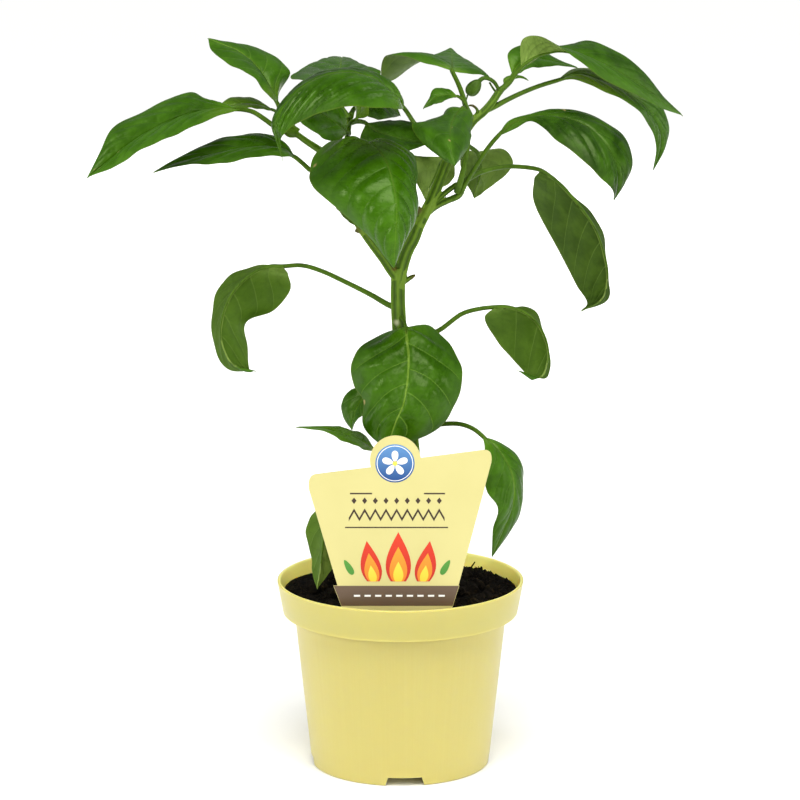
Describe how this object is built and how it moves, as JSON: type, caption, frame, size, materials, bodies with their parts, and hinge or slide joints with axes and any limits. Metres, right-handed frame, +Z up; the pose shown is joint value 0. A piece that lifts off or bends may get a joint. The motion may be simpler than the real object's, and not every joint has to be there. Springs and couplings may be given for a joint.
{
  "type": "potted chilli pepper plant",
  "caption": "Young chilli pepper plant with arching pointed leaves and a flower bud, in a round pale yellow nursery pot of soil with a plant label card.",
  "frame": {"origin": "on the surface that the pot stands on, under the pot's axis", "axes": "+Z up along the stem, -Y towards the front, where the label card faces, +X to the right as seen from the front"},
  "size_m": [0.2854, 0.1837, 0.3606],
  "materials": {
    "pot": "pale yellow moulded polypropylene, satin",
    "soil": "damp dark peat compost, matt and crumbly",
    "label": "printed polystyrene card, satin",
    "stem": "green ribbed stem, satin",
    "leaf": "glossy veined leaf, paler matt underside",
    "bud": "green flower bud, satin"
  },
  "bodies": {
    "root": {"pot": "pot", "soil": "soil", "plant_label": "label", "stem_and_branches": "stem", "flower_bud": "bud", "leaf_back_dark": "leaf", "leaf_back_left": "leaf", "leaf_back_lower": "leaf", "leaf_back_upper": "leaf", "leaf_bud_right": "leaf", "leaf_far_left": "leaf", "leaf_far_left_small": "leaf", "leaf_front_large": "leaf", "leaf_front_low": "leaf", "leaf_hanging_left": "leaf", "leaf_heart": "leaf", "leaf_inner_right": "leaf", "leaf_left_front": "leaf", "leaf_left_inner": "leaf", "leaf_low_back": "leaf", "leaf_low_left": "leaf", "leaf_low_left_narrow": "leaf", "leaf_low_right": "leaf", "leaf_low_right_curled": "leaf", "leaf_mid_left": "leaf", "leaf_middle_back": "leaf", "leaf_middle_pale": "leaf", "leaf_right_drooping": "leaf", "leaf_right_glossy": "leaf", "leaf_right_inner": "leaf", "leaf_right_long": "leaf", "leaf_small_top": "leaf", "leaf_top_middle": "leaf", "leaf_top_right": "leaf", "leaf_top_right_back": "leaf", "leaf_up_left": "leaf"}
  },
  "joints": []
}
